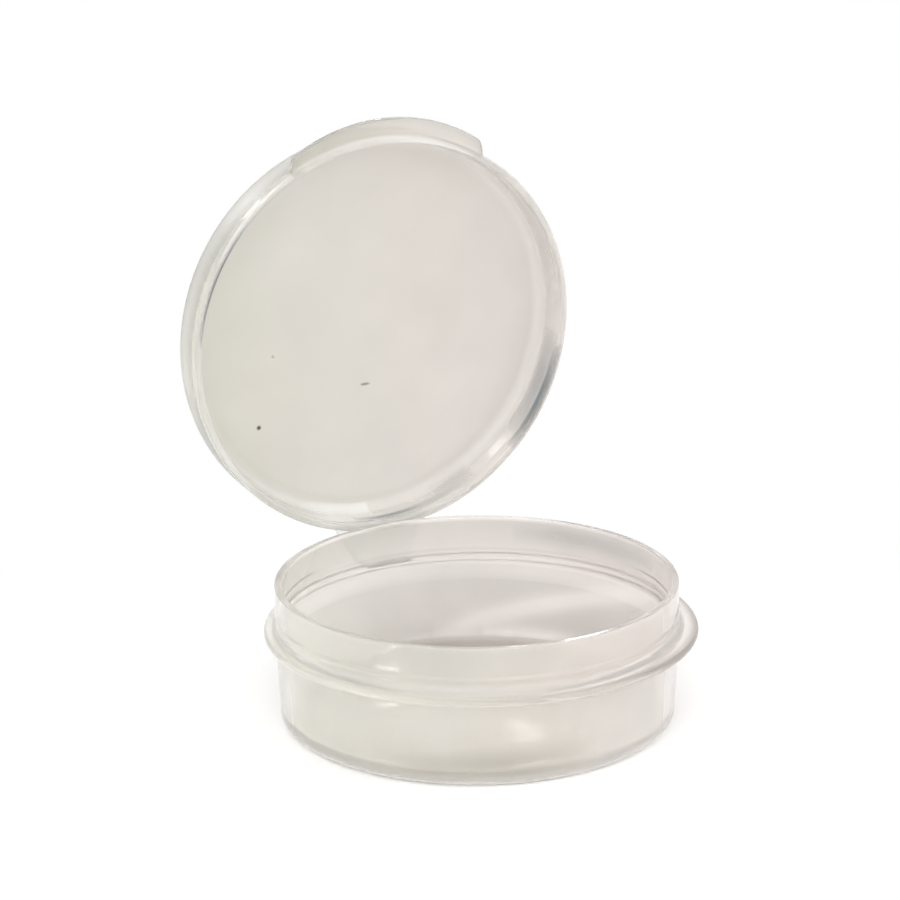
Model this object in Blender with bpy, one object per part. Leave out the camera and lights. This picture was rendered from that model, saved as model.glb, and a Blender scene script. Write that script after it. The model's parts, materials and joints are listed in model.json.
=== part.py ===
"""Clear hinged coin capsule: a round cup with a neck, a strap hinge and a slip-over lid that stands open.

Metres, +Z up. The origin is the middle of the cup's underside, the hinge is at +Y and the finger tab is
opposite it. The lid's pieces are modelled shut and hang from an empty on the hinge axis, which opens them.
"""
import math

import bmesh
import bpy

MM = 0.001

# Cup and neck
NECK_RADIUS = 20.0 * MM
NECK_WALL = 0.75 * MM
NECK_HEIGHT = 4.3 * MM
CUP_HEIGHT = 9.6 * MM
CUP_DRAFT = 0.28 * MM
FLOOR_THICKNESS = 1.0 * MM
FLOOR_FILLET = 0.6 * MM
FOOT_EDGE = 0.3 * MM
WELL_STEP = 0.2 * MM
RIM_EDGE = 0.2 * MM

# Bead round the neck, over which the lid's skirt slips
BEAD_HEIGHT = 0.1 * MM
BEAD_WIDTH = 0.8 * MM
BEAD_RISE = 1.15 * MM

# Off-centre flange at the neck's foot: how far it stands out at the hinge and at the front
FLANGE_THICKNESS = 0.75 * MM
FLANGE_BACK_LEDGE = 0.6 * MM
FLANGE_FRONT_LEDGE = 2.4 * MM
FLANGE_EDGE = 0.15 * MM

# Lid
LID_WALL = 0.75 * MM
PLATE_THICKNESS = 0.8 * MM
PLATE_OUTER_FILLET = 1.3 * MM
PLATE_INNER_FILLET = 0.6 * MM
LID_LEAD_IN = 0.2 * MM
OPEN_ANGLE = math.radians(86.2)

# Finger tab: a crescent on the lid's rim
TAB_REACH = 1.85 * MM
TAB_WIDTH = 21.4 * MM
TAB_EDGE_RADIUS = 18.7 * MM
TAB_THICKNESS = 0.9 * MM
TAB_CORNER = 0.7 * MM
TAB_EDGE = 0.15 * MM

# Strap hinge: two leaves, narrow at the flange and wide at the lid, that meet at the fold line
HINGE_OFFSET = 2.73 * MM
STRAP_THICKNESS = 0.4 * MM
STRAP_BASE_WIDTH = 5.2 * MM
STRAP_FOLD_WIDTH = 8.6 * MM
STRAP_LID_WIDTH = 10.6 * MM

# Clearances
LID_CLEARANCE = 0.45 * MM
RIM_GAP = 0.3 * MM
PLATE_GAP = 0.3 * MM
SWING_CLEARANCE = 0.15 * MM
FOLD_GAP = 0.3 * MM
JOIN_GAP = 0.25 * MM

# Fineness of the meshes
ROUND_STEPS = 72
ARC_STEPS = 4
STRAP_STEPS = 8
MERGE = 0.001 * MM

# Sizes that follow from the ones above
NECK_BORE = NECK_RADIUS - NECK_WALL
BASE_HEIGHT = CUP_HEIGHT + NECK_HEIGHT
FOOT_RADIUS = NECK_RADIUS - CUP_DRAFT
FLANGE_UNDERSIDE = CUP_HEIGHT - FLANGE_THICKNESS
FLANGE_RADIUS = NECK_RADIUS + (FLANGE_FRONT_LEDGE + FLANGE_BACK_LEDGE) / 2
FLANGE_SHIFT = (FLANGE_FRONT_LEDGE - FLANGE_BACK_LEDGE) / 2
LID_BORE = NECK_RADIUS + LID_CLEARANCE
LID_RADIUS = LID_BORE + LID_WALL
LID_RIM_Z = CUP_HEIGHT + RIM_GAP
PLATE_UNDERSIDE = BASE_HEIGHT + PLATE_GAP
PLATE_TOP = PLATE_UNDERSIDE + PLATE_THICKNESS

# The fold line lies as high as lets the skirt's inner edge swing past the neck by the swing clearance
HINGE_Y = NECK_RADIUS + HINGE_OFFSET
SWING_RADIUS = HINGE_OFFSET - SWING_CLEARANCE
SKIRT_OFFSET = HINGE_OFFSET - LID_CLEARANCE
HINGE_Z = LID_RIM_Z + LID_LEAD_IN + math.sqrt(SWING_RADIUS ** 2 - SKIRT_OFFSET ** 2)


def clear_scene():
    for item in list(bpy.data.objects):
        bpy.data.objects.remove(item, do_unlink=True)


def clear_plastic(name, color, roughness):
    """Clear plastic with a slight milky tint."""
    material = bpy.data.materials.new(name)
    material.use_nodes = True
    shader = material.node_tree.nodes["Principled BSDF"]
    shader.inputs["Base Color"].default_value = (*color, 1.0)
    shader.inputs["Roughness"].default_value = roughness
    shader.inputs["Metallic"].default_value = 0.0
    shader.inputs["IOR"].default_value = 1.49
    shader.inputs["Transmission Weight"].default_value = 0.9
    return material


def add_piece(name, bm, color, roughness=0.12, parent=None):
    """Turn a bmesh into a named, smoothly shaded object with its own material."""
    mesh = bpy.data.meshes.new(name)
    bm.to_mesh(mesh)
    bm.free()
    mesh.shade_smooth()
    mesh.set_sharp_from_angle(angle=math.radians(35))
    mesh.materials.append(clear_plastic(name + "_plastic", color, roughness))
    piece = bpy.data.objects.new(name, mesh)
    bpy.context.collection.objects.link(piece)
    piece.parent = parent
    return piece


def arc(center, radius, start, end):
    """Points on a round corner of a section, from one angle in degrees to another."""
    angles = [math.radians(start + (end - start) * step / ARC_STEPS) for step in range(ARC_STEPS + 1)]
    return [(center[0] + radius * math.cos(a), center[1] + radius * math.sin(a)) for a in angles]


def turned(section, closed=False):
    """Spin a section of (radius, height) points about Z, and return the bmesh of the closed body."""
    bm = bmesh.new()
    points = [bm.verts.new((radius, 0, height)) for radius, height in section]
    pairs = list(zip(points, points[1:]))
    if closed:
        pairs.append((points[-1], points[0]))
    edges = [bm.edges.new(pair) for pair in pairs]
    bmesh.ops.spin(bm, geom=points + edges, cent=(0, 0, 0), axis=(0, 0, 1),
                   angle=2 * math.pi, steps=ROUND_STEPS, use_merge=True)
    bmesh.ops.remove_doubles(bm, verts=bm.verts, dist=MERGE)
    bmesh.ops.recalc_face_normals(bm, faces=bm.faces)
    return bm


def to_hinge(bm):
    """Move a lid piece that was modelled shut so that the hinge axis is its origin."""
    bmesh.ops.translate(bm, verts=bm.verts, vec=(0, -HINGE_Y, -HINGE_Z))
    return bm


def make_base_cup():
    well_top = NECK_BORE - WELL_STEP
    well_foot = well_top - CUP_DRAFT
    bead_z = CUP_HEIGHT + BEAD_RISE
    bead = [(NECK_RADIUS, bead_z - BEAD_WIDTH / 2),
            (NECK_RADIUS + BEAD_HEIGHT, bead_z - BEAD_WIDTH / 6),
            (NECK_RADIUS + BEAD_HEIGHT, bead_z + BEAD_WIDTH / 6),
            (NECK_RADIUS, bead_z + BEAD_WIDTH / 2)]
    section = [(0, 0)]
    section += arc((FOOT_RADIUS - FOOT_EDGE, FOOT_EDGE), FOOT_EDGE, -90, 0)
    section += [(NECK_RADIUS, FLANGE_UNDERSIDE)]
    section += bead
    section += arc((NECK_RADIUS - RIM_EDGE, BASE_HEIGHT - RIM_EDGE), RIM_EDGE, 0, 90)
    section += arc((NECK_BORE + RIM_EDGE, BASE_HEIGHT - RIM_EDGE), RIM_EDGE, 90, 180)
    section += [(NECK_BORE, FLANGE_UNDERSIDE + WELL_STEP), (well_top, FLANGE_UNDERSIDE)]
    section += arc((well_foot - FLOOR_FILLET, FLOOR_THICKNESS + FLOOR_FILLET), FLOOR_FILLET, 0, -90)
    section += [(0, FLOOR_THICKNESS)]
    add_piece("base_cup", turned(section), (0.87, 0.85, 0.81))


def make_rim_flange():
    """A thin ring whose outer edge is slid forwards, away from the hinge."""
    bore = NECK_RADIUS + JOIN_GAP
    lip = [(FLANGE_RADIUS - FLANGE_EDGE, FLANGE_UNDERSIDE),
           (FLANGE_RADIUS, FLANGE_UNDERSIDE + FLANGE_EDGE),
           (FLANGE_RADIUS, CUP_HEIGHT - FLANGE_EDGE),
           (FLANGE_RADIUS - FLANGE_EDGE, CUP_HEIGHT)]
    bm = turned([(bore, FLANGE_UNDERSIDE)] + lip + [(bore, CUP_HEIGHT)], closed=True)
    halfway = (bore + FLANGE_RADIUS - FLANGE_EDGE) / 2
    edge = [v for v in bm.verts if v.co.xy.length > halfway]
    bmesh.ops.translate(bm, verts=edge, vec=(0, -FLANGE_SHIFT, 0))
    add_piece("rim_flange", bm, (0.89, 0.88, 0.85))


def strap_leaf(root, end, root_width, end_width):
    """A sheet of the strap: root and end give (y, z) at any x, and a quarter turn may bend between them."""
    bm = bmesh.new()
    rows = []
    for along in range(STRAP_STEPS + 1):
        share = along / STRAP_STEPS
        width = root_width + (end_width - root_width) * share
        row = []
        for across in range(STRAP_STEPS + 1):
            x = width * (across / STRAP_STEPS - 0.5)
            start_y, start_z = root(x)
            end_y, end_z = end(x)
            turn = share * math.pi / 2
            y = start_y + (end_y - start_y) * math.sin(turn)
            z = end_z + (start_z - end_z) * math.cos(turn)
            row.append(bm.verts.new((x, y, z)))
        rows.append(row)
    for low, high in zip(rows, rows[1:]):
        for i in range(STRAP_STEPS):
            bm.faces.new((low[i], low[i + 1], high[i + 1], high[i]))
    return bm


def thicken(piece):
    solidify = piece.modifiers.new("strap thickness", "SOLIDIFY")
    solidify.thickness = STRAP_THICKNESS
    solidify.offset = 0
    solidify.use_even_offset = True


def make_hinge_strap_base():
    """The leaf that leaves the flange's back edge level and bends up to the fold line."""
    middle = CUP_HEIGHT - FLANGE_THICKNESS / 2

    def flange_edge(x):
        return math.sqrt((FLANGE_RADIUS + JOIN_GAP) ** 2 - x * x) - FLANGE_SHIFT, middle

    def fold(x):
        return HINGE_Y, HINGE_Z - FOLD_GAP

    bm = strap_leaf(flange_edge, fold, STRAP_BASE_WIDTH, STRAP_FOLD_WIDTH)
    thicken(add_piece("hinge_strap_base", bm, (0.84, 0.85, 0.82), 0.2))


def make_hinge_strap_lid(axis):
    """The flat leaf from the fold line to the lid's skirt."""
    def fold(x):
        return HINGE_Y - FOLD_GAP, HINGE_Z

    def skirt(x):
        return math.sqrt((LID_RADIUS + JOIN_GAP) ** 2 - x * x), HINGE_Z

    bm = to_hinge(strap_leaf(fold, skirt, STRAP_FOLD_WIDTH, STRAP_LID_WIDTH))
    thicken(add_piece("hinge_strap_lid", bm, (0.84, 0.85, 0.82), 0.2, axis))


def make_lid_cap(axis):
    inner_corner = (LID_BORE - PLATE_INNER_FILLET, PLATE_UNDERSIDE - PLATE_INNER_FILLET)
    outer_corner = (LID_RADIUS - PLATE_OUTER_FILLET, PLATE_TOP - PLATE_OUTER_FILLET)
    section = [(0, PLATE_UNDERSIDE)]
    section += arc(inner_corner, PLATE_INNER_FILLET, 90, 0)
    section += [(LID_BORE, LID_RIM_Z + LID_LEAD_IN), (LID_BORE + LID_LEAD_IN, LID_RIM_Z)]
    section += [(LID_RADIUS, LID_RIM_Z)]
    section += arc(outer_corner, PLATE_OUTER_FILLET, 0, 90)
    section += [(0, PLATE_TOP)]
    add_piece("lid_cap", to_hinge(turned(section)), (0.85, 0.83, 0.78), parent=axis)


def make_lid_tab(axis):
    """A crescent plate flush with the lid's rim, with rounded outer corners."""
    half = TAB_WIDTH / 2
    crest = LID_RADIUS + TAB_REACH
    seat = LID_RADIUS + JOIN_GAP
    spread = [half * (2 * step / ROUND_STEPS - 1) for step in range(0, ROUND_STEPS + 1, ARC_STEPS)]
    outer = [(x, -crest + TAB_EDGE_RADIUS - math.sqrt(TAB_EDGE_RADIUS ** 2 - x * x)) for x in spread]
    inner = [(x, -math.sqrt(seat ** 2 - x * x)) for x in reversed(spread)]
    bm = bmesh.new()
    face = bm.faces.new([bm.verts.new((x, y, LID_RIM_Z)) for x, y in outer + inner])
    raised = bmesh.ops.extrude_face_region(bm, geom=[face])["geom"]
    bmesh.ops.translate(bm, verts=[g for g in raised if isinstance(g, bmesh.types.BMVert)],
                        vec=(0, 0, TAB_THICKNESS))
    corner_y = outer[0][1]
    corners = [e for e in bm.edges
               if all(abs(abs(v.co.x) - half) < MERGE and abs(v.co.y - corner_y) < MERGE for v in e.verts)]
    bmesh.ops.bevel(bm, geom=corners, offset=TAB_CORNER, segments=ARC_STEPS, affect="EDGES", profile=0.5)
    bmesh.ops.recalc_face_normals(bm, faces=bm.faces)
    tab = add_piece("lid_tab", to_hinge(bm), (0.88, 0.87, 0.83), parent=axis)
    bevel = tab.modifiers.new("soft edges", "BEVEL")
    bevel.width = TAB_EDGE
    bevel.segments = 2
    bevel.limit_method = "ANGLE"
    bevel.angle_limit = math.radians(50)


def add_hinge_axis():
    """An empty on the fold line. Turning it about -X lifts the lid open."""
    axis = bpy.data.objects.new("lid_hinge_axis", None)
    axis.location = (0, HINGE_Y, HINGE_Z)
    axis.rotation_euler = (-OPEN_ANGLE, 0, 0)
    bpy.context.collection.objects.link(axis)
    return axis


clear_scene()
make_base_cup()
make_rim_flange()
make_hinge_strap_base()
hinge_axis = add_hinge_axis()
make_hinge_strap_lid(hinge_axis)
make_lid_cap(hinge_axis)
make_lid_tab(hinge_axis)
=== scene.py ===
"""Looks of a clear hinged coin capsule: a cup with a neck, a bending strap and a slip-over lid, shown open.

The CAD frame gives the sizes and the hinge. Each piece is a skin on a grid, in metres in that frame.
"""
import json
import math

import bpy
import numpy as np
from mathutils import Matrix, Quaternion, Vector


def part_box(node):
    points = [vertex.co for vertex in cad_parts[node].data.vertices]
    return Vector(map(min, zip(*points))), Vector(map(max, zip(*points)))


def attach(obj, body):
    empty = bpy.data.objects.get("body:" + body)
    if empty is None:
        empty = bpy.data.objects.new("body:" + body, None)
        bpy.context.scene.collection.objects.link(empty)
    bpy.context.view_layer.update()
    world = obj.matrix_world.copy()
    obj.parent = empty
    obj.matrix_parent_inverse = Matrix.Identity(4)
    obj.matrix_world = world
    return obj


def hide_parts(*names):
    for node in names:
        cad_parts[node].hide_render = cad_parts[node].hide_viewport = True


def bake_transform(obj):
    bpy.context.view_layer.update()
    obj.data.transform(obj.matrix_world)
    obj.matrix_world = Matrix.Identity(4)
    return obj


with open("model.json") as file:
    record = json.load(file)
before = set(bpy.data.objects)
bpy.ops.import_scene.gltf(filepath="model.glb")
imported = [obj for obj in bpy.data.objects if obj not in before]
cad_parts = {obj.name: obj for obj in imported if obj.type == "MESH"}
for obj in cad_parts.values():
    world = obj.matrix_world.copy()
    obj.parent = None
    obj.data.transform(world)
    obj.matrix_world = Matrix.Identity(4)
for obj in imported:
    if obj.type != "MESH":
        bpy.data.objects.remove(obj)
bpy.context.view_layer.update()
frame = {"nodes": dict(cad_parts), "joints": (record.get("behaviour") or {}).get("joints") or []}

# Base: a round cup with a flat floor, a neck that the lid slips over and a thin flange, set off-centre so
# that it stands out most at the front. One polypropylene moulding: clear, faintly milky and glossy. A low
# bead runs round the neck and a small step marks the top of the well. Its tones, streaks and smears are
# painted light and painted shade.
MM = 0.001
BEAD_HEIGHT = 0.1 * MM
BEAD_WIDTH = 0.8 * MM
BEAD_RISE = 1.15 * MM
NECK_WALL = 0.75 * MM
CUP_DRAFT = 0.28 * MM
FOOT_EDGE = 0.8 * MM
FLOOR_THICKNESS = 1.0 * MM
FLOOR_FILLET = 0.6 * MM
WELL_STEP = 0.2 * MM
STEP_REACH = 1.6 * MM
RIM_EDGE = 0.12 * MM
FLANGE_EDGE = 0.37 * MM
FLANGE_ROOT = 0.5 * MM
SHARP_FROM = math.radians(40)

# Tones are painted light and shade, from 1, pale, to -1, deep. A pair gives the tones at both ends of a
# stretch.
PALE = 1
PLAIN = 0
DEEP = -1
WALL_TONES = (0.6, 0.8)
UNDER_ROOT_TONE = 0.3
NECK_TONE = 0.5
NECK_BORE_TONES = (-0.6, -0.2)
STEP_TONE = -0.2
STEP_END_DROP = 0.3
WELL_TONES = (-0.6, -0.45)
FLOOR_FILLET_TONE = -0.4
FLOOR_TONE = -0.6

# Painted light and shade by side: what a tone gains towards a side, or all over. The hinge is at the back.
WELL_FRONT = -0.1
WELL_RIGHT = -0.45
STEP_SIDES = 0.35
NECK_BORE_LEFT = -0.4
FLOOR_FRONT = 0.8
FLANGE_ALL = -0.3
FLANGE_RIGHT = -0.8
FLANGE_FRONT = -0.7
FLANGE_BACK = 1.2
FLANGE_UNDERSIDE = 0.5
NECK_ALL = -0.3
NECK_RIGHT = -0.5

# Painted light in the well, a band, a glint on the step and a strip by the floor: the angles in degrees and
# the heights at both ends, the width and the strength.
PAINTED_LIGHT_STREAKS = ((78, -5, 1.0 * MM, 9.2 * MM, 1.1 * MM, 1.0), (168, 128, 9.6 * MM, 9.3 * MM, 0.35 * MM, 1.0),
           (62, 25, 1.3 * MM, 1.3 * MM, 0.8 * MM, 0.9))
# Painted shade in the same columns: a dark smear high in the neck's bore, and dark bands low on the front
# wall.
NECK_BORE_PAINTED_SHADE = ((52, -6, 12.4 * MM, 12.3 * MM, 1.0 * MM, 0.3),)
WALL_PAINTED_SHADE = ((-82, -148, 2.2 * MM, 2.2 * MM, 1.8 * MM, -1.3),
               (-70, -125, 5.0 * MM, 5.0 * MM, 3.0 * MM, -0.5))
FLANGE_HAZE = 0.5
LEAST_HAZE = 0.05

cup_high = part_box("base_cup")[1]
flange_low, flange_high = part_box("rim_flange")
neck_radius = cup_high.x - BEAD_HEIGHT
neck_bore = neck_radius - NECK_WALL
base_top = cup_high.z
flange_radius = flange_high.x
flange_slide = -(flange_low.y + flange_high.y) / 2
flange_under = flange_low.z
flange_top = flange_high.z


def corner(center, radius, start, end, steps=8):
    """Round corner of a section: points at one radius from a centre, between two angles in degrees."""
    angle = np.radians(np.linspace(start, end, steps + 1))
    return np.column_stack([center[0] + radius * np.cos(angle), center[1] + radius * np.sin(angle)])


def straight(start, end, steps=12):
    """Straight stretch of a section: evenly spaced points from start to end, without the two ends."""
    share = np.linspace(0, 1, steps + 1)[1:-1, None]
    return np.array(start) * (1 - share) + np.array(end) * share


def section(stretches):
    """Joins stretches of a half section. Each has one tone, a tone for each point, or one for each end."""
    rows = []
    for tone, points in stretches:
        tones = np.linspace(*tone, len(points)) if isinstance(tone, tuple) else np.full(len(points), tone)
        rows.append(np.column_stack([points, tones]))
    return np.vstack(rows)


def ridge(along, middle, width, height):
    """A low rounded ridge: a squared cosine over its width, and nothing on either side."""
    share = np.clip((along - middle) / (width / 2), -1, 1)
    return height * np.cos(share * math.pi / 2) ** 2


def skin(name, grid, **marks):
    """A closed skin: each row of points is a ring, and the first and last row shrink to a pole.

    Row i and column j join to row i + 1 and column j + 1, so faces point out where rows climb outside.
    Each mark is a number for every grid point, and becomes a point attribute that the material reads.
    """
    rows, columns = grid.shape[:2]
    ring = 1 + np.arange((rows - 2) * columns).reshape(rows - 2, columns)
    after = np.roll(ring, -1, axis=1)
    top = ring.max() + 1
    quads = np.stack([ring[:-1], after[:-1], after[1:], ring[1:]], axis=-1).reshape(-1, 4)
    low_fan = np.stack([np.zeros_like(ring[0]), after[0], ring[0]], axis=-1)
    high_fan = np.stack([ring[-1], after[-1], np.full_like(ring[-1], top)], axis=-1)
    mesh = bpy.data.meshes.new(name)
    points = np.vstack([grid[0, :1], grid[1:-1].reshape(-1, 3), grid[-1, :1]])
    mesh.from_pydata(points.tolist(), [], quads.tolist() + low_fan.tolist() + high_fan.tolist())
    for mark, values in marks.items():
        flat = np.concatenate([values[0, :1], values[1:-1].ravel(), values[-1, :1]])
        mesh.attributes.new(mark, "FLOAT", "POINT").data.foreach_set("value", flat.astype(np.float32))
    mesh.shade_smooth()
    mesh.set_sharp_from_angle(angle=SHARP_FROM)
    piece = bpy.data.objects.new(name, mesh)
    bpy.context.collection.objects.link(piece)
    return piece


def base_section(bead_points=13, step_points=17):
    """Half section of the base: from the underside's middle up outside, over the rim, down to the floor."""
    foot = neck_radius - CUP_DRAFT
    well_top = neck_bore - WELL_STEP
    well_foot = well_top - CUP_DRAFT
    lip = flange_radius - FLANGE_EDGE
    root = neck_radius + FLANGE_ROOT
    fillet_top = FLOOR_THICKNESS + FLOOR_FILLET
    rim_foot = base_top - RIM_EDGE
    bead_middle = flange_top + BEAD_RISE
    bead_z = bead_middle + np.linspace(-0.5, 0.5, bead_points) * BEAD_WIDTH
    bead = np.column_stack([neck_radius + ridge(bead_z, bead_middle, BEAD_WIDTH, BEAD_HEIGHT), bead_z])
    ramp = np.linspace(1, -1, step_points)
    step_radius = (neck_bore + well_top) / 2 + WELL_STEP / 2 * np.sin(ramp * math.pi / 2)
    step = np.column_stack([step_radius, flange_under + STEP_REACH * ramp])
    return section([
        (DEEP, [(0, 0)]),
        (DEEP, straight((0, 0), (foot - FOOT_EDGE, 0))),
        (PALE, corner((foot - FOOT_EDGE, FOOT_EDGE), FOOT_EDGE, -90, 0)),
        (WALL_TONES, straight((foot, FOOT_EDGE), (neck_radius, flange_under - FLANGE_ROOT), steps=24)),
        (UNDER_ROOT_TONE, corner((root, flange_under - FLANGE_ROOT), FLANGE_ROOT, 180, 90)),
        (PLAIN, corner((lip, flange_under + FLANGE_EDGE), FLANGE_EDGE, -90, 0)),
        (PLAIN, corner((lip, flange_top - FLANGE_EDGE), FLANGE_EDGE, 0, 90)),
        (PALE, corner((root, flange_top + FLANGE_ROOT), FLANGE_ROOT, 270, 180)),
        (NECK_TONE, bead),
        (NECK_TONE, straight(bead[-1], (neck_radius, rim_foot), steps=6)),
        (PALE, corner((neck_radius - RIM_EDGE, rim_foot), RIM_EDGE, 0, 90)),
        (PALE, straight((neck_radius - RIM_EDGE, base_top), (neck_bore + RIM_EDGE, base_top), steps=8)),
        (PALE, corner((neck_bore + RIM_EDGE, rim_foot), RIM_EDGE, 90, 180)),
        (NECK_BORE_TONES, straight((neck_bore, rim_foot), step[0])),
        (STEP_TONE - STEP_END_DROP * ramp ** 2, step),
        (WELL_TONES, straight(step[-1], (well_foot, fillet_top), steps=24)),
        (FLOOR_FILLET_TONE, corner((well_foot - FLOOR_FILLET, fillet_top), FLOOR_FILLET, 0, -90)),
        (FLOOR_TONE, straight((well_foot - FLOOR_FILLET, FLOOR_THICKNESS), (0, FLOOR_THICKNESS))),
        (FLOOR_TONE, [(0, FLOOR_THICKNESS)]),
    ])


def light_and_shade_marks(marks, angle, height):
    """Strength of the marks of painted light and painted shade at each height and angle.

    A mark runs from its first angle down to its second while its middle goes from one height to the other.
    It is a bell across its width, times the root of half a sine wave along it, so it fades out at both ends.
    """
    degrees = (np.degrees(angle) + 180) % 360 - 180
    strength = np.zeros((len(height), len(angle)))
    for start, end, low, high, width, most in marks:
        share = np.clip((start - degrees) / (start - end), 0, 1)
        across = np.exp(-((height[:, None] - low - share * (high - low)) / width) ** 2)
        strength += most * across * np.sqrt(np.sin(share * math.pi))
    return strength


def base_grid(columns=360):
    """Each section point goes round the axis in a circle. The flange's points keep their share of the ledge,
    between the neck and a circle that is set off-centre, towards -Y.

    The tones, painted light and shade, fade from the hinge side to the front, and from side to side.
    """
    radius, height, tone = base_section().T
    angle = np.linspace(0, 2 * math.pi, columns, endpoint=False)
    cos, sin = np.cos(angle), np.sin(angle)
    flange_edge = np.sqrt(flange_radius ** 2 - (flange_slide * cos) ** 2) - flange_slide * sin
    share = np.clip((radius - neck_radius) / (flange_radius - neck_radius), 0, 1)
    # The bead above the flange keeps to the neck's circle.
    share[height > flange_top + FLANGE_ROOT] = 0
    reach = radius[:, None] + share[:, None] * (flange_edge - flange_radius)
    x = reach * cos
    y = reach * sin
    points = np.stack([x, y, np.broadcast_to(height[:, None], x.shape)], axis=-1)

    inside = (np.arange(len(height)) > height.argmax()) & (height > FLOOR_THICKNESS)
    on_flange = (radius > neck_radius + FLANGE_ROOT) & ~inside
    on_ledge = (radius > neck_radius + BEAD_HEIGHT) & ~inside
    on_neck = (height > flange_top) & ~inside
    # Both faces of the floor are deep, painted shade, and the foot's edge beside them is pale, painted
    # light.
    on_floor = (height <= FLOOR_THICKNESS) & (tone < 0)
    in_well = height < flange_under
    at_step = np.abs(height - flange_under) < STEP_REACH
    in_neck_bore = height > flange_under + STEP_REACH
    under_flange = height < (flange_under + flange_top) / 2

    right = x / neck_radius
    hinge_side = (1 + y / neck_radius) / 2
    tone = tone[:, None]
    # Painted light from the streaks, in the well.
    inner_tone = tone * hinge_side + WELL_FRONT * (1 - hinge_side) + light_and_shade_marks(PAINTED_LIGHT_STREAKS, angle, height)
    inner_tone += in_well[:, None] * WELL_RIGHT * right + at_step[:, None] * STEP_SIDES * np.abs(right)
    inner_tone += in_neck_bore[:, None] * NECK_BORE_LEFT * np.maximum(-right, 0)
    flange_round = FLANGE_RIGHT * cos + FLANGE_FRONT * np.maximum(-sin, 0) + FLANGE_BACK * np.maximum(sin, 0)
    flange_tone = FLANGE_ALL + flange_round + FLANGE_UNDERSIDE * under_flange[:, None]
    neck_tone = tone + NECK_ALL + NECK_RIGHT * cos
    floor_tone = tone * hinge_side + FLOOR_FRONT * (1 - hinge_side)
    # Painted shade low on the front of the outer wall.
    wall_tone = tone + light_and_shade_marks(WALL_PAINTED_SHADE, angle, height)
    tones = np.select([inside[:, None], on_flange[:, None], on_neck[:, None], on_floor[:, None]],
                      [inner_tone, flange_tone, neck_tone, floor_tone], wall_tone)
    # Painted shade in the neck's bore, carried by the grey mark.
    neck_bore_shade = light_and_shade_marks(NECK_BORE_PAINTED_SHADE, angle, height) * inside[:, None]
    haze = on_ledge[:, None] * FLANGE_HAZE * np.clip(sin, LEAST_HAZE, 1)
    return points, np.clip(tones, DEEP, PALE), neck_bore_shade, haze


base_points, base_tones, base_painted_shade, base_haze = base_grid()
base = skin("capsule_base", base_points, tone=base_tones, scuff=base_painted_shade, haze=base_haze)

# The plastic's colour: the pale one is painted light and the deep one painted shade, for the tone mark.
BASE_PLAIN = (0.875, 0.84, 0.795)
BASE_PALE = (0.955, 0.935, 0.91)
BASE_DEEP = (0.6, 0.57, 0.53)
# Grey for painted dark reflections and painted shade.
PAINTED_SHADE_GREY = (0.1, 0.125, 0.15)
CLEAR_SHARE = 0.69
REFRACTION_INDEX = 1.3
LEAST_ROUGHNESS = 0.03
RUB_ROUGHNESS = 0.03
UNEVENNESS = 0.03
UNEVEN_DEPTH = 0.1 * MM
CLOUD_VALUES = (0.975, 1.025)
HUE_REACH = 20 * MM
LEFT_HUE = 0.535
RIGHT_HUE = 0.47


def add_node(tree, kind, **inputs):
    """Adds a shader node and sets its sockets by name, or by number as _0, with a link to a given socket."""
    node = tree.nodes.new(kind)
    for socket, value in inputs.items():
        target = node.inputs[int(socket[1:])] if socket[0] == "_" else node.inputs[socket.replace("_", " ")]
        if isinstance(value, bpy.types.NodeSocket):
            tree.links.new(value, target)
        else:
            target.default_value = value
    return node


def calculate(tree, operation, *values):
    """The result of one Math node."""
    node = add_node(tree, "ShaderNodeMath", **{f"_{number}": value for number, value in enumerate(values)})
    node.operation = operation
    return node.outputs[0]


def moulding_group():
    """Moulded skin of clear plastic: slow clouds where the melt flowed, and fine rub marks in the gloss."""
    group = bpy.data.node_groups.new("moulded_skin", "ShaderNodeTree")
    for socket, start in (("Flow Scale", 160.0), ("Rub Scale", 900.0), ("Least Roughness", LEAST_ROUGHNESS)):
        made = group.interface.new_socket(socket, in_out="INPUT", socket_type="NodeSocketFloat")
        made.default_value = start
    for socket in ("Cloud", "Roughness"):
        group.interface.new_socket(socket, in_out="OUTPUT", socket_type="NodeSocketFloat")
    inside = group.nodes.new("NodeGroupInput").outputs
    outside = group.nodes.new("NodeGroupOutput")
    where = group.nodes.new("ShaderNodeTexCoord").outputs["Object"]
    cloud = add_node(group, "ShaderNodeTexNoise", Vector=where, Scale=inside["Flow Scale"], Detail=2.0,
                     Roughness=0.4).outputs[0]
    rub = add_node(group, "ShaderNodeTexNoise", Vector=where, Scale=inside["Rub Scale"], Detail=4.0,
                   Roughness=0.65).outputs[0]
    smear = add_node(group, "ShaderNodeMapRange", Value=rub, From_Min=0.45, From_Max=0.75).outputs[0]
    rough = calculate(group, "MULTIPLY_ADD", smear, RUB_ROUGHNESS, inside["Least Roughness"])
    for socket, value in (("Cloud", cloud), ("Roughness", rough)):
        group.links.new(value, outside.inputs[socket])
    return group


MOULDED_SKIN = moulding_group()


def read_mark(tree, name):
    """Reads one of the mesh's marks, which is 0 on a mesh without it."""
    node = tree.nodes.new("ShaderNodeAttribute")
    node.attribute_name = name
    return node.outputs["Fac"]


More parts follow.
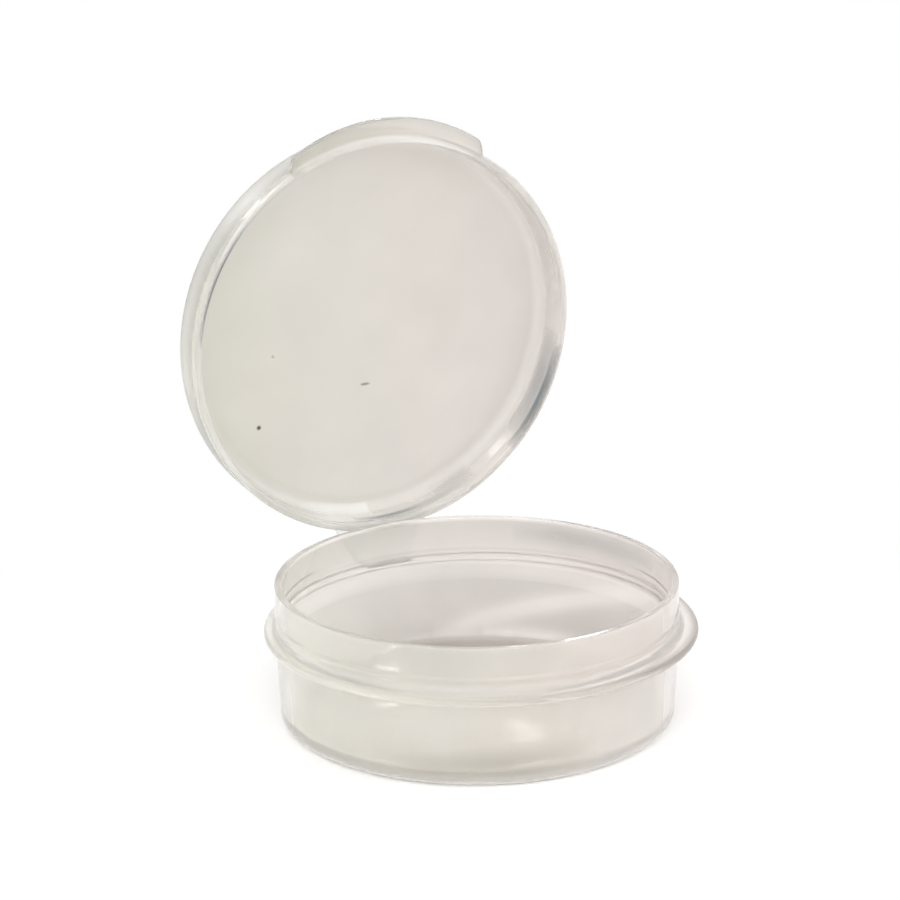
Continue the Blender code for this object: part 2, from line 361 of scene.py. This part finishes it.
def speckled(tree, where, value, specks):
    """Darkens a value to the light that a speck leaves, within about its half sizes, and not further out."""
    for spot, half_sizes, left in specks:
        away = add_node(tree, "ShaderNodeVectorMath", _0=where, _1=spot)
        away.operation = "SUBTRACT"
        share = add_node(tree, "ShaderNodeVectorMath", _0=away.outputs[0], _1=half_sizes)
        share.operation = "DIVIDE"
        reach = add_node(tree, "ShaderNodeVectorMath", _0=share.outputs[0])
        reach.operation = "LENGTH"
        grain = add_node(tree, "ShaderNodeMapRange", Value=reach.outputs["Value"], From_Min=0.6,
                         From_Max=1.2, To_Min=left)
        value = calculate(tree, "MULTIPLY", value, grain.outputs[0])
    return value


def clear_plastic(name, plain, pale, deep, transmission=CLEAR_SHARE, roughness=LEAST_ROUGHNESS,
                  bump=UNEVENNESS, specks=()):
    """Clear polypropylene: light passes, tinted a little, a milky share scatters it, and a gloss covers it.

    The tone mark paints light and shade: it turns the plain colour to the pale one on edges and lit sides,
    and to the deep one in thick plastic and shaded places. A second mark greys it with painted dark
    reflections and painted shade, the haze mark dulls its gloss, and its hue drifts from greener on the left
    to pinker on the right. Specks are dark grains in the melt, each with its place, half sizes and the light
    left.
    """
    material = bpy.data.materials.new(name)
    material.use_nodes = True
    tree = material.node_tree
    shader = tree.nodes["Principled BSDF"]
    skin_marks = tree.nodes.new("ShaderNodeGroup")
    skin_marks.node_tree = MOULDED_SKIN
    skin_marks.inputs["Least Roughness"].default_value = roughness
    cloud = skin_marks.outputs["Cloud"]
    where = tree.nodes.new("ShaderNodeTexCoord").outputs["Object"]
    clouded = add_node(tree, "ShaderNodeMapRange", Value=cloud, From_Min=0.3, From_Max=0.7,
                       To_Min=CLOUD_VALUES[0], To_Max=CLOUD_VALUES[1]).outputs[0]
    value = speckled(tree, where, clouded, specks)
    tone = read_mark(tree, "tone")
    lit = add_node(tree, "ShaderNodeMixRGB", Fac=tone, Color1=(*plain, 1), Color2=(*pale, 1)).outputs[0]
    thick = add_node(tree, "ShaderNodeMixRGB", Fac=calculate(tree, "MULTIPLY", tone, -1.0), Color1=lit,
                     Color2=(*deep, 1)).outputs[0]
    # Greys the colour with painted dark reflections and painted shade.
    painted_shading = add_node(tree, "ShaderNodeMixRGB", Fac=read_mark(tree, "scuff"), Color1=thick,
                      Color2=(*PAINTED_SHADE_GREY, 1)).outputs[0]
    sideways = add_node(tree, "ShaderNodeSeparateXYZ", _0=where).outputs[0]
    hue = add_node(tree, "ShaderNodeMapRange", Value=sideways, From_Min=-HUE_REACH, From_Max=HUE_REACH,
                   To_Min=LEFT_HUE, To_Max=RIGHT_HUE).outputs[0]
    colour = add_node(tree, "ShaderNodeHueSaturation", Color=painted_shading, Hue=hue, Value=value).outputs[0]
    tree.links.new(colour, shader.inputs["Base Color"])
    dull = calculate(tree, "ADD", skin_marks.outputs["Roughness"], read_mark(tree, "haze"))
    tree.links.new(dull, shader.inputs["Roughness"])
    uneven = add_node(tree, "ShaderNodeBump", Strength=bump, Distance=UNEVEN_DEPTH, Height=cloud).outputs[0]
    tree.links.new(uneven, shader.inputs["Normal"])
    shader.inputs["IOR"].default_value = REFRACTION_INDEX
    shader.inputs["Transmission Weight"].default_value = transmission
    return material


base.data.materials.append(clear_plastic("clear_base_plastic", BASE_PLAIN, BASE_PALE, BASE_DEEP))
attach(base, "base")
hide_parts("base_cup", "rim_flange")

# Hinge strap: a thin leaf of the same polypropylene, narrow at the flange and wide at the lid's skirt. It is
# moulded in one with both, leaves the flange level, bends up and folds where it is thinnest. So thin a leaf
# is paler and clearer than the rest, and it is a little duller from bending.
STRAP_THICKNESS = 0.4 * MM
FOLD_THICKNESS = 0.26 * MM
STRAP_BASE_WIDTH = 5.2 * MM
STRAP_FOLD_WIDTH = 8.6 * MM
STRAP_LID_WIDTH = 10.6 * MM
STRAP_GAP = 0.03 * MM
FOLD_SHARE = 0.22
ACROSS_POWER = 0.25
BULGE_POWER = 0.6
STRAP_COLOUR = (0.93, 0.96, 0.955)
STRAP_CLEAR_SHARE = 0.85
STRAP_ROUGHNESS = 0.06

hinge = frame["joints"][0]
hinge_y, hinge_z = hinge["pos_m"][1:]
open_angle = math.radians(-hinge["range_deg"][0])
lid_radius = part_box("lid_cap")[1].x


def turned(points, angle):
    """Points turned about the hinge line: a positive angle opens the lid, and a negative one shuts it."""
    y, z = points[..., 1] - hinge_y, points[..., 2] - hinge_z
    cos, sin = math.cos(angle), math.sin(angle)
    return np.stack([points[..., 0], hinge_y + y * cos + z * sin, hinge_z - y * sin + z * cos], axis=-1)


def strap_middle(along, across):
    """Middle sheet of the strap at rest, along from 0 at the flange to 2 at the lid, across from -1 to 1.

    Up to 1 it is a quarter of an ellipse from the flange's edge to the fold line, then a straight leaf.
    """
    width = np.interp(along, (0, 1, 2), (STRAP_BASE_WIDTH, STRAP_FOLD_WIDTH, STRAP_LID_WIDTH))
    x = width / 2 * across
    flange_y = np.sqrt((flange_radius + STRAP_GAP) ** 2 - x ** 2) - flange_slide
    flange_middle = (flange_under + flange_top) / 2
    skirt_y = np.sqrt((lid_radius + STRAP_GAP) ** 2 - x ** 2)
    skirt = turned(np.stack([x, skirt_y, np.full_like(x, hinge_z)], axis=-1), open_angle)
    turn = np.clip(along, 0, 1) * math.pi / 2
    rise = np.clip(along - 1, 0, 1)
    y = flange_y + (hinge_y - flange_y) * np.sin(turn)
    z = hinge_z + (flange_middle - hinge_z) * np.cos(turn)
    return np.stack([x, y + (skirt[..., 1] - hinge_y) * rise, z + (skirt[..., 2] - hinge_z) * rise], axis=-1)


def strap_grid(along_steps=48, across_steps=28):
    """The strap's closed skin: a flattened ring of points carried along the middle sheet, with round sides.

    The ring is a circle whose cosine and sine are raised to powers under 1. A bell thins it at the fold.
    """
    along = np.linspace(0, 2, along_steps + 1)
    ring = np.linspace(0, 2 * math.pi, 2 * across_steps, endpoint=False)
    flat = np.abs(np.cos(ring)) ** ACROSS_POWER * np.sign(np.cos(ring))
    bulge = np.abs(np.sin(ring)) ** BULGE_POWER * np.sign(np.sin(ring))
    along_grid, across_grid = np.meshgrid(along, flat, indexing="ij")
    middle = strap_middle(along_grid, across_grid)
    step = 1e-3
    run = strap_middle(along_grid + step, across_grid) - strap_middle(along_grid - step, across_grid)
    normal = np.cross(run, np.array([1.0, 0.0, 0.0]))
    normal /= np.linalg.norm(normal, axis=-1, keepdims=True)
    fold = np.exp(-((along_grid - 1.0) / FOLD_SHARE) ** 2)
    thickness = STRAP_THICKNESS + (FOLD_THICKNESS - STRAP_THICKNESS) * fold
    body = middle + normal * (thickness / 2 * bulge)[..., None]
    ends = body[[0, -1]].mean(axis=1, keepdims=True).repeat(body.shape[1], axis=1)
    return np.concatenate([ends[:1], body, ends[1:]])


strap_points = strap_grid()
strap = skin("hinge_strap", strap_points, tone=np.full(strap_points.shape[:2], PLAIN))
strap.data.materials.append(clear_plastic("clear_strap_plastic", STRAP_COLOUR, STRAP_COLOUR, STRAP_COLOUR,
                                          STRAP_CLEAR_SHARE, STRAP_ROUGHNESS, bump=0.0))
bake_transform(strap)
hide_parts("hinge_strap_base", "hinge_strap_lid")

# Lid: a round cap with a flat plate, a rounded outer edge and a skirt that slips over the neck. A crescent
# finger tab grows from its rim, opposite the hinge. It is moulded in one with the strap, from the same clear
# plastic, with a few dark specks in the plate. Grey arcs on it are painted dark reflections and painted
# shade, and its tones are painted light and shade.
LID_WALL = 0.75 * MM
PLATE_THICKNESS = 0.8 * MM
PLATE_OUTER_FILLET = 1.3 * MM
PLATE_INNER_FILLET = 1.0 * MM
LID_LEAD_IN = 0.2 * MM
SNAP_HEIGHT = 0.03 * MM
SNAP_WIDTH = 1.2 * MM
SNAP_DEPTH = 0.9 * MM
TAB_EDGE_RADIUS = 18.7 * MM
TAB_CORNER = 1.4 * MM
TAB_EDGE = 0.2 * MM
TAB_SEAM = 0.02 * MM
TAB_ONSET = 0.5 * MM

# Turns in radians, before and after each end of the tab, between which the points are closest.
TAB_TURN_BEFORE = 0.1
TAB_TURN_AFTER = 0.02

# Painted dark reflections and painted shade in arcs: the turns from the tab in degrees at both ends, the
# height above the rim, width and strength.
LID_BORE_PAINTED_SHADE = ((99, 134, 0.45 * MM, 0.55 * MM, 0.95), (96, 130, 1.9 * MM, 1.2 * MM, 0.55),
               (-86, -46, 0.2 * MM, 0.6 * MM, 0.85), (163, 188, 1.75 * MM, 0.45 * MM, 0.8),
               (150, 172, 1.7 * MM, 0.7 * MM, 0.4), (146, 160, 2.5 * MM, 1.5 * MM, 0.25),
               (-68, -26, 1.8 * MM, 2.0 * MM, 0.5))
SKIRT_PAINTED_SHADE = ((-95, -5, 3.0 * MM, 4.0 * MM, 0.2), (-85, -40, 2.3 * MM, 1.2 * MM, 0.15),
                (-166, -100, 3.0 * MM, 4.0 * MM, 0.26))

# Specks in the plate: the place across and along the shut lid, the half sizes and the light left.
SPECKS = ((-12.55 * MM, 9.43 * MM, (0.26 * MM, 0.3 * MM, 0.26 * MM), 0.05),
          (-0.47 * MM, 6.25 * MM, (0.55 * MM, 0.3 * MM, 0.16 * MM), 0.35),
          (-10.95 * MM, 1.9 * MM, (0.18 * MM, 0.3 * MM, 0.18 * MM), 0.6))

# Painted light on the lid's edges, skirt, plate towards the hinge and right, and bore by the hinge; painted
# shade on the tab.
INNER_FILLET_TONE = 0.2
BORE_TONES = (0, 0.6)
SKIRT_TONE = 0.8
OUTER_FILLET_TONE = 0.9
PLATE_HINGE_PAINTED_LIGHT = 0.35
PLATE_RIGHT_PAINTED_LIGHT = 0.12
PLATE_FADE = 1.0 * MM
BORE_PAINTED_LIGHT_FROM = 0.85
BORE_PAINTED_LIGHT_FADE = 0.1
BORE_HAZE = 0.15
SKIRT_HAZE = 0.45
# The lid's colour: the pale one is painted light and the deep one painted shade, for the tone mark.
LID_PLAIN = (0.73, 0.695, 0.645)
LID_PALE = (0.9, 0.88, 0.84)
LID_DEEP = (0.66, 0.64, 0.6)


def shut_box(node):
    """Lowest and highest corner of one of the lid's CAD nodes, turned to where the lid is shut."""
    points = np.empty(len(frame["nodes"][node].data.vertices) * 3, np.float32)
    frame["nodes"][node].data.vertices.foreach_get("co", points)
    shut = turned(points.reshape(-1, 3), -open_angle)
    return shut.min(axis=0), shut.max(axis=0)


rim_z = shut_box("lid_cap")[0][2]
plate_top = shut_box("lid_cap")[1][2]
tab_low, tab_high = shut_box("lid_tab")
tab_crest = -tab_low[1]
tab_half = tab_high[0]
tab_thickness = tab_high[2] - tab_low[2]
lid_bore = lid_radius - LID_WALL
plate_under = plate_top - PLATE_THICKNESS


def tab_edge(angle):
    """Radius of the lid's rim at an angle from the tab's middle: its circle, or the tab where it is further.

    The tab ends on an arc of its own radius and two straight sides. A smooth minimum rounds their corners.
    """
    sin, cos = np.abs(np.sin(angle)), np.cos(angle)
    middle = tab_crest - TAB_EDGE_RADIUS
    crest = middle * cos + np.sqrt(TAB_EDGE_RADIUS ** 2 - (middle * sin) ** 2)
    least_sine = 1e-6
    side = tab_half / np.maximum(sin, least_sine)
    blend = np.clip(0.5 + (side - crest) / (2 * TAB_CORNER), 0, 1)
    outline = side * (1 - blend) + crest * blend - TAB_CORNER * blend * (1 - blend)
    return np.where(cos > 0, np.maximum(outline, lid_radius), lid_radius)


def lid_section():
    """Half section of the shut lid: from the plate's inner middle down the bore, round the rim, up outside.

    The last number is 0 in the bore, 1 on the rim's edge, 2 on the tab's upper edge and 3 on the outside.
    """
    inner = (lid_bore - PLATE_INNER_FILLET, plate_under - PLATE_INNER_FILLET)
    outer = (lid_radius - PLATE_OUTER_FILLET, plate_top - PLATE_OUTER_FILLET)
    tab_top = rim_z + tab_thickness
    tab_lip = lid_radius - TAB_EDGE
    wall = straight((lid_bore, inner[1]), (lid_bore, rim_z + LID_LEAD_IN), steps=48)
    wall[:, 0] -= ridge(wall[:, 1], rim_z + SNAP_DEPTH, SNAP_WIDTH, SNAP_HEIGHT)
    skirt_foot = (lid_radius, tab_top + TAB_SEAM)
    bore = section([
        (PLAIN, [(0, plate_under)]),
        (PLAIN, straight((0, plate_under), (inner[0], plate_under), steps=40)),
        (INNER_FILLET_TONE, corner(inner, PLATE_INNER_FILLET, 90, 0)),
        (BORE_TONES, wall),
        (PALE, corner((lid_bore + LID_LEAD_IN, rim_z + LID_LEAD_IN), LID_LEAD_IN, 180, 270, steps=4)),
    ])
    rim = section([(PALE, corner((tab_lip, rim_z + TAB_EDGE), TAB_EDGE, -90, 0, steps=4))])
    tab = section([(PALE, corner((tab_lip, tab_top - TAB_EDGE), TAB_EDGE, 0, 90, steps=4))])
    skirt = section([
        (SKIRT_TONE, [skirt_foot]),
        (SKIRT_TONE, straight(skirt_foot, (lid_radius, outer[1]))),
        (OUTER_FILLET_TONE, corner(outer, PLATE_OUTER_FILLET, 0, 90, steps=10)),
        (PLAIN, straight((outer[0], plate_top), (0, plate_top), steps=40)),
        (PLAIN, [(0, plate_top)]),
    ])
    parts = (bore, rim, tab, skirt)
    part = np.concatenate([np.full(len(points), number) for number, points in enumerate(parts)])
    return np.column_stack([np.vstack(parts), part])


def scuffs(arcs, turn, height):
    """Grey arcs of painted dark reflection and painted shade on the bore or the skirt: where arcs overlap,
    the stronger one counts.

    Each is a flat-topped bell across the height above the rim, times the root of half a sine wave along it.
    """
    marks = np.zeros((len(height), len(turn)))
    for start, end, middle, width, strength in arcs:
        share = np.clip((np.degrees(turn) - start) % 360 / (end - start), 0, 1)
        along = np.sin(share * math.pi) ** 0.5
        across = np.exp(-((height - middle) / width) ** 4)
        marks = np.maximum(marks, strength * across[:, None] * along[None, :])
    return marks


def lid_grid(crest_columns=60, corner_columns=40, back_columns=140):
    """Each section point goes round the shut lid's axis. The tab pushes the rim's points out, then all open.

    The columns are closest at the tab's two ends.
    """
    tab_end = math.asin(tab_half / lid_radius)
    before, after = tab_end - TAB_TURN_BEFORE, tab_end + TAB_TURN_AFTER
    half_turn = np.concatenate([np.linspace(0, before, crest_columns, endpoint=False),
                                np.linspace(before, after, corner_columns, endpoint=False),
                                np.linspace(after, math.pi, back_columns)])
    turn = np.concatenate([half_turn, -half_turn[-2:0:-1]])
    radius, height, tone, part = lid_section().T
    follows = ((part == 1) | (part == 2))[:, None]
    push = tab_edge(turn) - lid_radius
    on_tab = np.clip(push / TAB_ONSET, 0, 1)
    flush = np.where((part == 2)[:, None], (lid_radius - radius[:, None]) * (1 - on_tab), 0)
    reach = radius[:, None] + flush + follows * push
    x = reach * np.sin(turn)
    y = -reach * np.cos(turn)
    shut = np.stack([x, y, np.broadcast_to(height[:, None], x.shape)], axis=-1)

    inner_edge = lid_bore - PLATE_INNER_FILLET
    plate = np.clip((inner_edge - radius) / PLATE_FADE, 0, 1)[:, None]
    on_skirt = ((part == 3) & (radius > inner_edge))[:, None]
    in_bore = ((part == 0) & (radius > inner_edge))[:, None]
    left = x < 0
    right, back = x / lid_radius, y / lid_radius
    tab_share = follows * on_tab
    # Painted shade on the tab, and painted light on the plate towards the hinge and right, and in the bore
    # by the hinge.
    tones = tone[:, None] * (1 - tab_share) + DEEP * tab_share
    tones += plate * (PLATE_HINGE_PAINTED_LIGHT * np.clip(back, 0, 1) + PLATE_RIGHT_PAINTED_LIGHT * right)
    tones += in_bore * np.clip((back - BORE_PAINTED_LIGHT_FROM) / BORE_PAINTED_LIGHT_FADE, 0, 1) * left
    haze = on_skirt * SKIRT_HAZE + in_bore * BORE_HAZE * left
    # Painted dark reflections and painted shade, in arcs on the bore and the skirt.
    painted_shading = scuffs(LID_BORE_PAINTED_SHADE, turn, height - rim_z) * in_bore
    painted_shading += scuffs(SKIRT_PAINTED_SHADE, turn, height - rim_z) * on_skirt
    return turned(shut, open_angle), tones, painted_shading, haze


lid_points, lid_tones, lid_scuffs, lid_haze = lid_grid()
lid = skin("capsule_lid", lid_points, tone=lid_tones, scuff=lid_scuffs, haze=lid_haze)
lid_specks = [(tuple(turned(np.array([x, y, plate_under]), open_angle)), half_sizes, left)
              for x, y, half_sizes, left in SPECKS]
lid.data.materials.append(clear_plastic("clear_lid_plastic", LID_PLAIN, LID_PALE, LID_DEEP,
                                        specks=lid_specks))
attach(lid, "lid")
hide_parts("lid_cap", "lid_tab")

# Stage: a plain pale matte floor, a hair below the capsule's foot. It keeps the soft shadow near the capsule
# and is plain white further off.
FLOOR_SIZE = 1.5
FLOOR_DROP = 0.1 * MM
FLOOR_COLOUR = (0.95, 0.95, 0.95)
FLOOR_ROUGHNESS = 0.9
SHADOW_REACH = 0.03
WHITE_FROM = 0.07

half = FLOOR_SIZE / 2
floor_mesh = bpy.data.meshes.new("pale_floor")
floor_mesh.from_pydata([(-half, -half, -FLOOR_DROP), (half, -half, -FLOOR_DROP), (half, half, -FLOOR_DROP),
                        (-half, half, -FLOOR_DROP)], [], [(0, 1, 2, 3)])
floor = bpy.data.objects.new("pale_floor", floor_mesh)
bpy.context.collection.objects.link(floor)


def seen(tree):
    """1 for rays from the camera, straight or by way of a gloss or clear plastic, and 0 for soft light."""
    path = tree.nodes.new("ShaderNodeLightPath").outputs
    mirrored = calculate(tree, "MAXIMUM", path["Is Glossy Ray"], path["Is Transmission Ray"])
    return calculate(tree, "MAXIMUM", path["Is Camera Ray"], mirrored)


def pale_floor():
    """Matte floor that looks plain white beyond a smooth step in the distance from the capsule."""
    material = bpy.data.materials.new("pale_floor")
    material.use_nodes = True
    tree = material.node_tree
    shader = tree.nodes["Principled BSDF"]
    shader.inputs["Base Color"].default_value = (*FLOOR_COLOUR, 1)
    shader.inputs["Roughness"].default_value = FLOOR_ROUGHNESS
    shader.inputs["Specular IOR Level"].default_value = 0.0
    where = tree.nodes.new("ShaderNodeTexCoord").outputs["Object"]
    distance = add_node(tree, "ShaderNodeVectorMath", _0=where)
    distance.operation = "LENGTH"
    far = add_node(tree, "ShaderNodeMapRange", Value=distance.outputs["Value"], From_Min=SHADOW_REACH,
                   From_Max=WHITE_FROM)
    far.interpolation_type = "SMOOTHSTEP"
    white = add_node(tree, "ShaderNodeEmission", Strength=1.0)
    mix = add_node(tree, "ShaderNodeMixShader", _0=calculate(tree, "MULTIPLY", far.outputs[0], seen(tree)),
                   _1=shader.outputs[0], _2=white.outputs[0])
    tree.links.new(mix.outputs[0], tree.nodes["Material Output"].inputs["Surface"])
    return material


floor_mesh.materials.append(pale_floor())

# Light: a plain white room and three soft boxes in front. Small window panes behind the capsule give no soft
# light: they only shine through the clear plastic and in its gloss, as the bright patches and lines on it.
ROOM_LIGHT = 0.95
CUP_AIM = (0, 0, 0.02)
LID_AIM = (0, 0.02, 0.03)
WELL_AIM = (0, 0, 0.01)
RIM_AIM = (0, 0, 0.014)

world = bpy.data.worlds.new("white_room")
bpy.context.scene.world = world
world.use_nodes = True
room = world.node_tree
room.nodes.clear()
soft = add_node(room, "ShaderNodeBackground", Color=(1, 1, 1, 1), Strength=ROOM_LIGHT)
white = add_node(room, "ShaderNodeBackground", Color=(1, 1, 1, 1), Strength=1.0)
both = add_node(room, "ShaderNodeMixShader", _0=seen(room), _1=soft.outputs[0], _2=white.outputs[0])
room.links.new(both.outputs[0], room.nodes.new("ShaderNodeOutputWorld").inputs["Surface"])


def soft_box(name, spot, aim, size, power, soft_light=True, gloss=True):
    """A rectangular lamp at a spot, facing an aim, which may be left out of the soft light and the gloss."""
    lamp = bpy.data.lights.new(name, "AREA")
    lamp.shape = "RECTANGLE"
    lamp.size, lamp.size_y = size
    lamp.energy = power
    box = bpy.data.objects.new(name, lamp)
    box.location = spot
    box.rotation_mode = "QUATERNION"
    box.rotation_quaternion = (Vector(aim) - Vector(spot)).to_track_quat("-Z", "Y")
    box.visible_camera = False
    box.visible_diffuse = soft_light
    box.visible_glossy = gloss
    bpy.context.collection.objects.link(box)


def window_pane(name, spot, aim, size, power, gloss=True):
    """A small lamp behind the capsule that shows through the plastic and, where wanted, in its gloss."""
    soft_box(name, spot, aim, size, power, soft_light=False, gloss=gloss)


soft_box("key_box", (-0.35, -0.30, 0.45), CUP_AIM, (0.50, 0.50), power=1.2)
soft_box("front_box", (-0.20, -0.52, 0.25), CUP_AIM, (0.80, 0.30), power=0.75)
soft_box("fill_box", (0.45, -0.25, 0.22), CUP_AIM, (0.40, 0.30), power=1.0)
window_pane("left_window", (-0.270, 0.746, 0.497), LID_AIM, (0.07, 0.07), power=2.6, gloss=False)
window_pane("left_pane", (-0.309, 0.748, 0.466), LID_AIM, (0.05, 0.05), power=0.2)
window_pane("middle_window", (0.222, 0.520, 0.2185), WELL_AIM, (0.012, 0.012), power=0.016)
window_pane("right_window", (0.2628, 0.4731, 0.2305), WELL_AIM, (0.012, 0.006), power=0.0018)
window_pane("sill_left", (0.2514, 0.4625, 0.2195), RIM_AIM, (0.0107, 0.005), power=0.0015)
window_pane("sill_right", (0.2689, 0.4553, 0.2176), RIM_AIM, (0.0121, 0.005), power=0.0013)

# Camera: the photograph's viewing angle, with its slight roll. Light needs many bounces to pass through
# several walls of clear plastic.
CAMERA_PLACE = (-117.74 * MM, -231.427 * MM, 104.781 * MM)
CAMERA_AIM = (-0.52 * MM, 4.521 * MM, 25.957 * MM)
CAMERA_ROLL = math.radians(-0.663)
LENS = 111.06
SENSOR_WIDTH = 36.0
NEAREST = 0.01

camera_data = bpy.data.cameras.new("photo_camera")
camera_data.lens = LENS
camera_data.sensor_width = SENSOR_WIDTH
camera_data.clip_start = NEAREST
camera = bpy.data.objects.new("photo_camera", camera_data)
camera.location = CAMERA_PLACE
camera.rotation_mode = "QUATERNION"
level = (Vector(CAMERA_AIM) - camera.location).to_track_quat("-Z", "Y")
camera.rotation_quaternion = level @ Quaternion((0, 0, 1), CAMERA_ROLL)
bpy.context.collection.objects.link(camera)

scene = bpy.context.scene
scene.camera = camera
scene.view_settings.view_transform = "Standard"
scene.cycles.max_bounces = 64
scene.cycles.transmission_bounces = 64
scene.cycles.glossy_bounces = 32
scene.cycles.diffuse_bounces = 8
